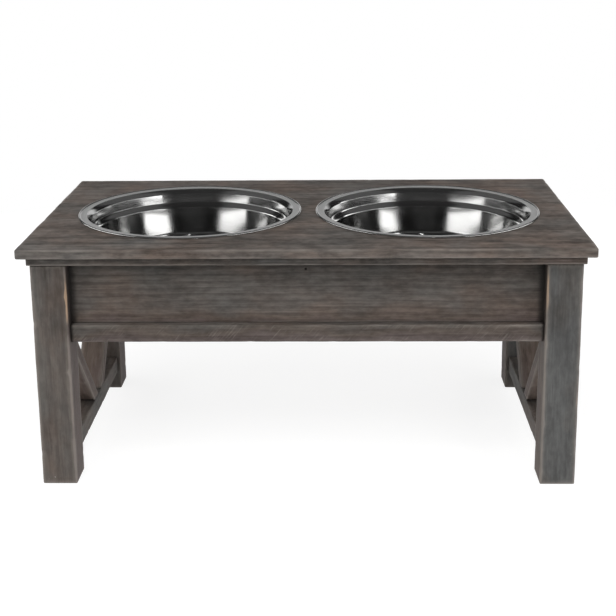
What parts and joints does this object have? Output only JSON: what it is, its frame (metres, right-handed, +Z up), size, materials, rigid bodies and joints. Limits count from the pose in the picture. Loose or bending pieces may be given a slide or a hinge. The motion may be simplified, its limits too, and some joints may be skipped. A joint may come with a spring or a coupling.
{
  "type": "raised dog feeder stand",
  "caption": "Raised wooden dog feeder stand with a flat top, square legs, V-braced open ends and loose steel bowls that lift out.",
  "frame": {"origin": "on the floor, under the middle of the top board, level with the undersides of the legs", "axes": "+X runs along the stand to the right as seen from the front, +Y runs from the front to the back, +Z is up"},
  "size_m": [0.61, 0.347, 0.274],
  "materials": {
    "stained_wood": "pine with a dark grey-brown weathered stain, worn paler along its edges",
    "raw_wood": "bare pine and birch, sawn and unfinished",
    "zinc_steel": "zinc plated screws and brads",
    "stainless_steel": "stainless sheet, polished inside with a satin lip"
  },
  "bodies": {
    "stand": {"top_board": "stained_wood", "trim_front": "stained_wood", "trim_back": "stained_wood", "trim_left": "stained_wood", "trim_right": "stained_wood", "leg_front_left": "stained_wood", "leg_front_right": "stained_wood", "leg_back_left": "stained_wood", "leg_back_right": "stained_wood", "apron_front": "stained_wood", "apron_back": "stained_wood", "apron_left": "stained_wood", "apron_right": "stained_wood", "rail_front": "stained_wood", "rail_back": "stained_wood", "rail_left": "stained_wood", "rail_right": "stained_wood", "foot_rail_left": "stained_wood", "foot_rail_right": "stained_wood", "brace_left_front": "stained_wood", "brace_left_back": "stained_wood", "brace_right_front": "stained_wood", "brace_right_back": "stained_wood", "centre_stretcher": "raw_wood", "rail_dowels": "raw_wood", "brace_dowels": "raw_wood", "frame_screws": "zinc_steel", "top_screws": "zinc_steel", "stretcher_brads": "zinc_steel"},
    "left_bowl": {"bowl_left": "stainless_steel"},
    "right_bowl": {"bowl_right": "stainless_steel"}
  },
  "joints": [
    {"name": "left_bowl_lift", "type": "slide", "parent": "stand", "child": "left_bowl", "axis": [0, 0, 1], "range_m": [0, 0.12]},
    {"name": "right_bowl_lift", "type": "slide", "parent": "stand", "child": "right_bowl", "axis": [0, 0, 1], "range_m": [0, 0.12]}
  ]
}
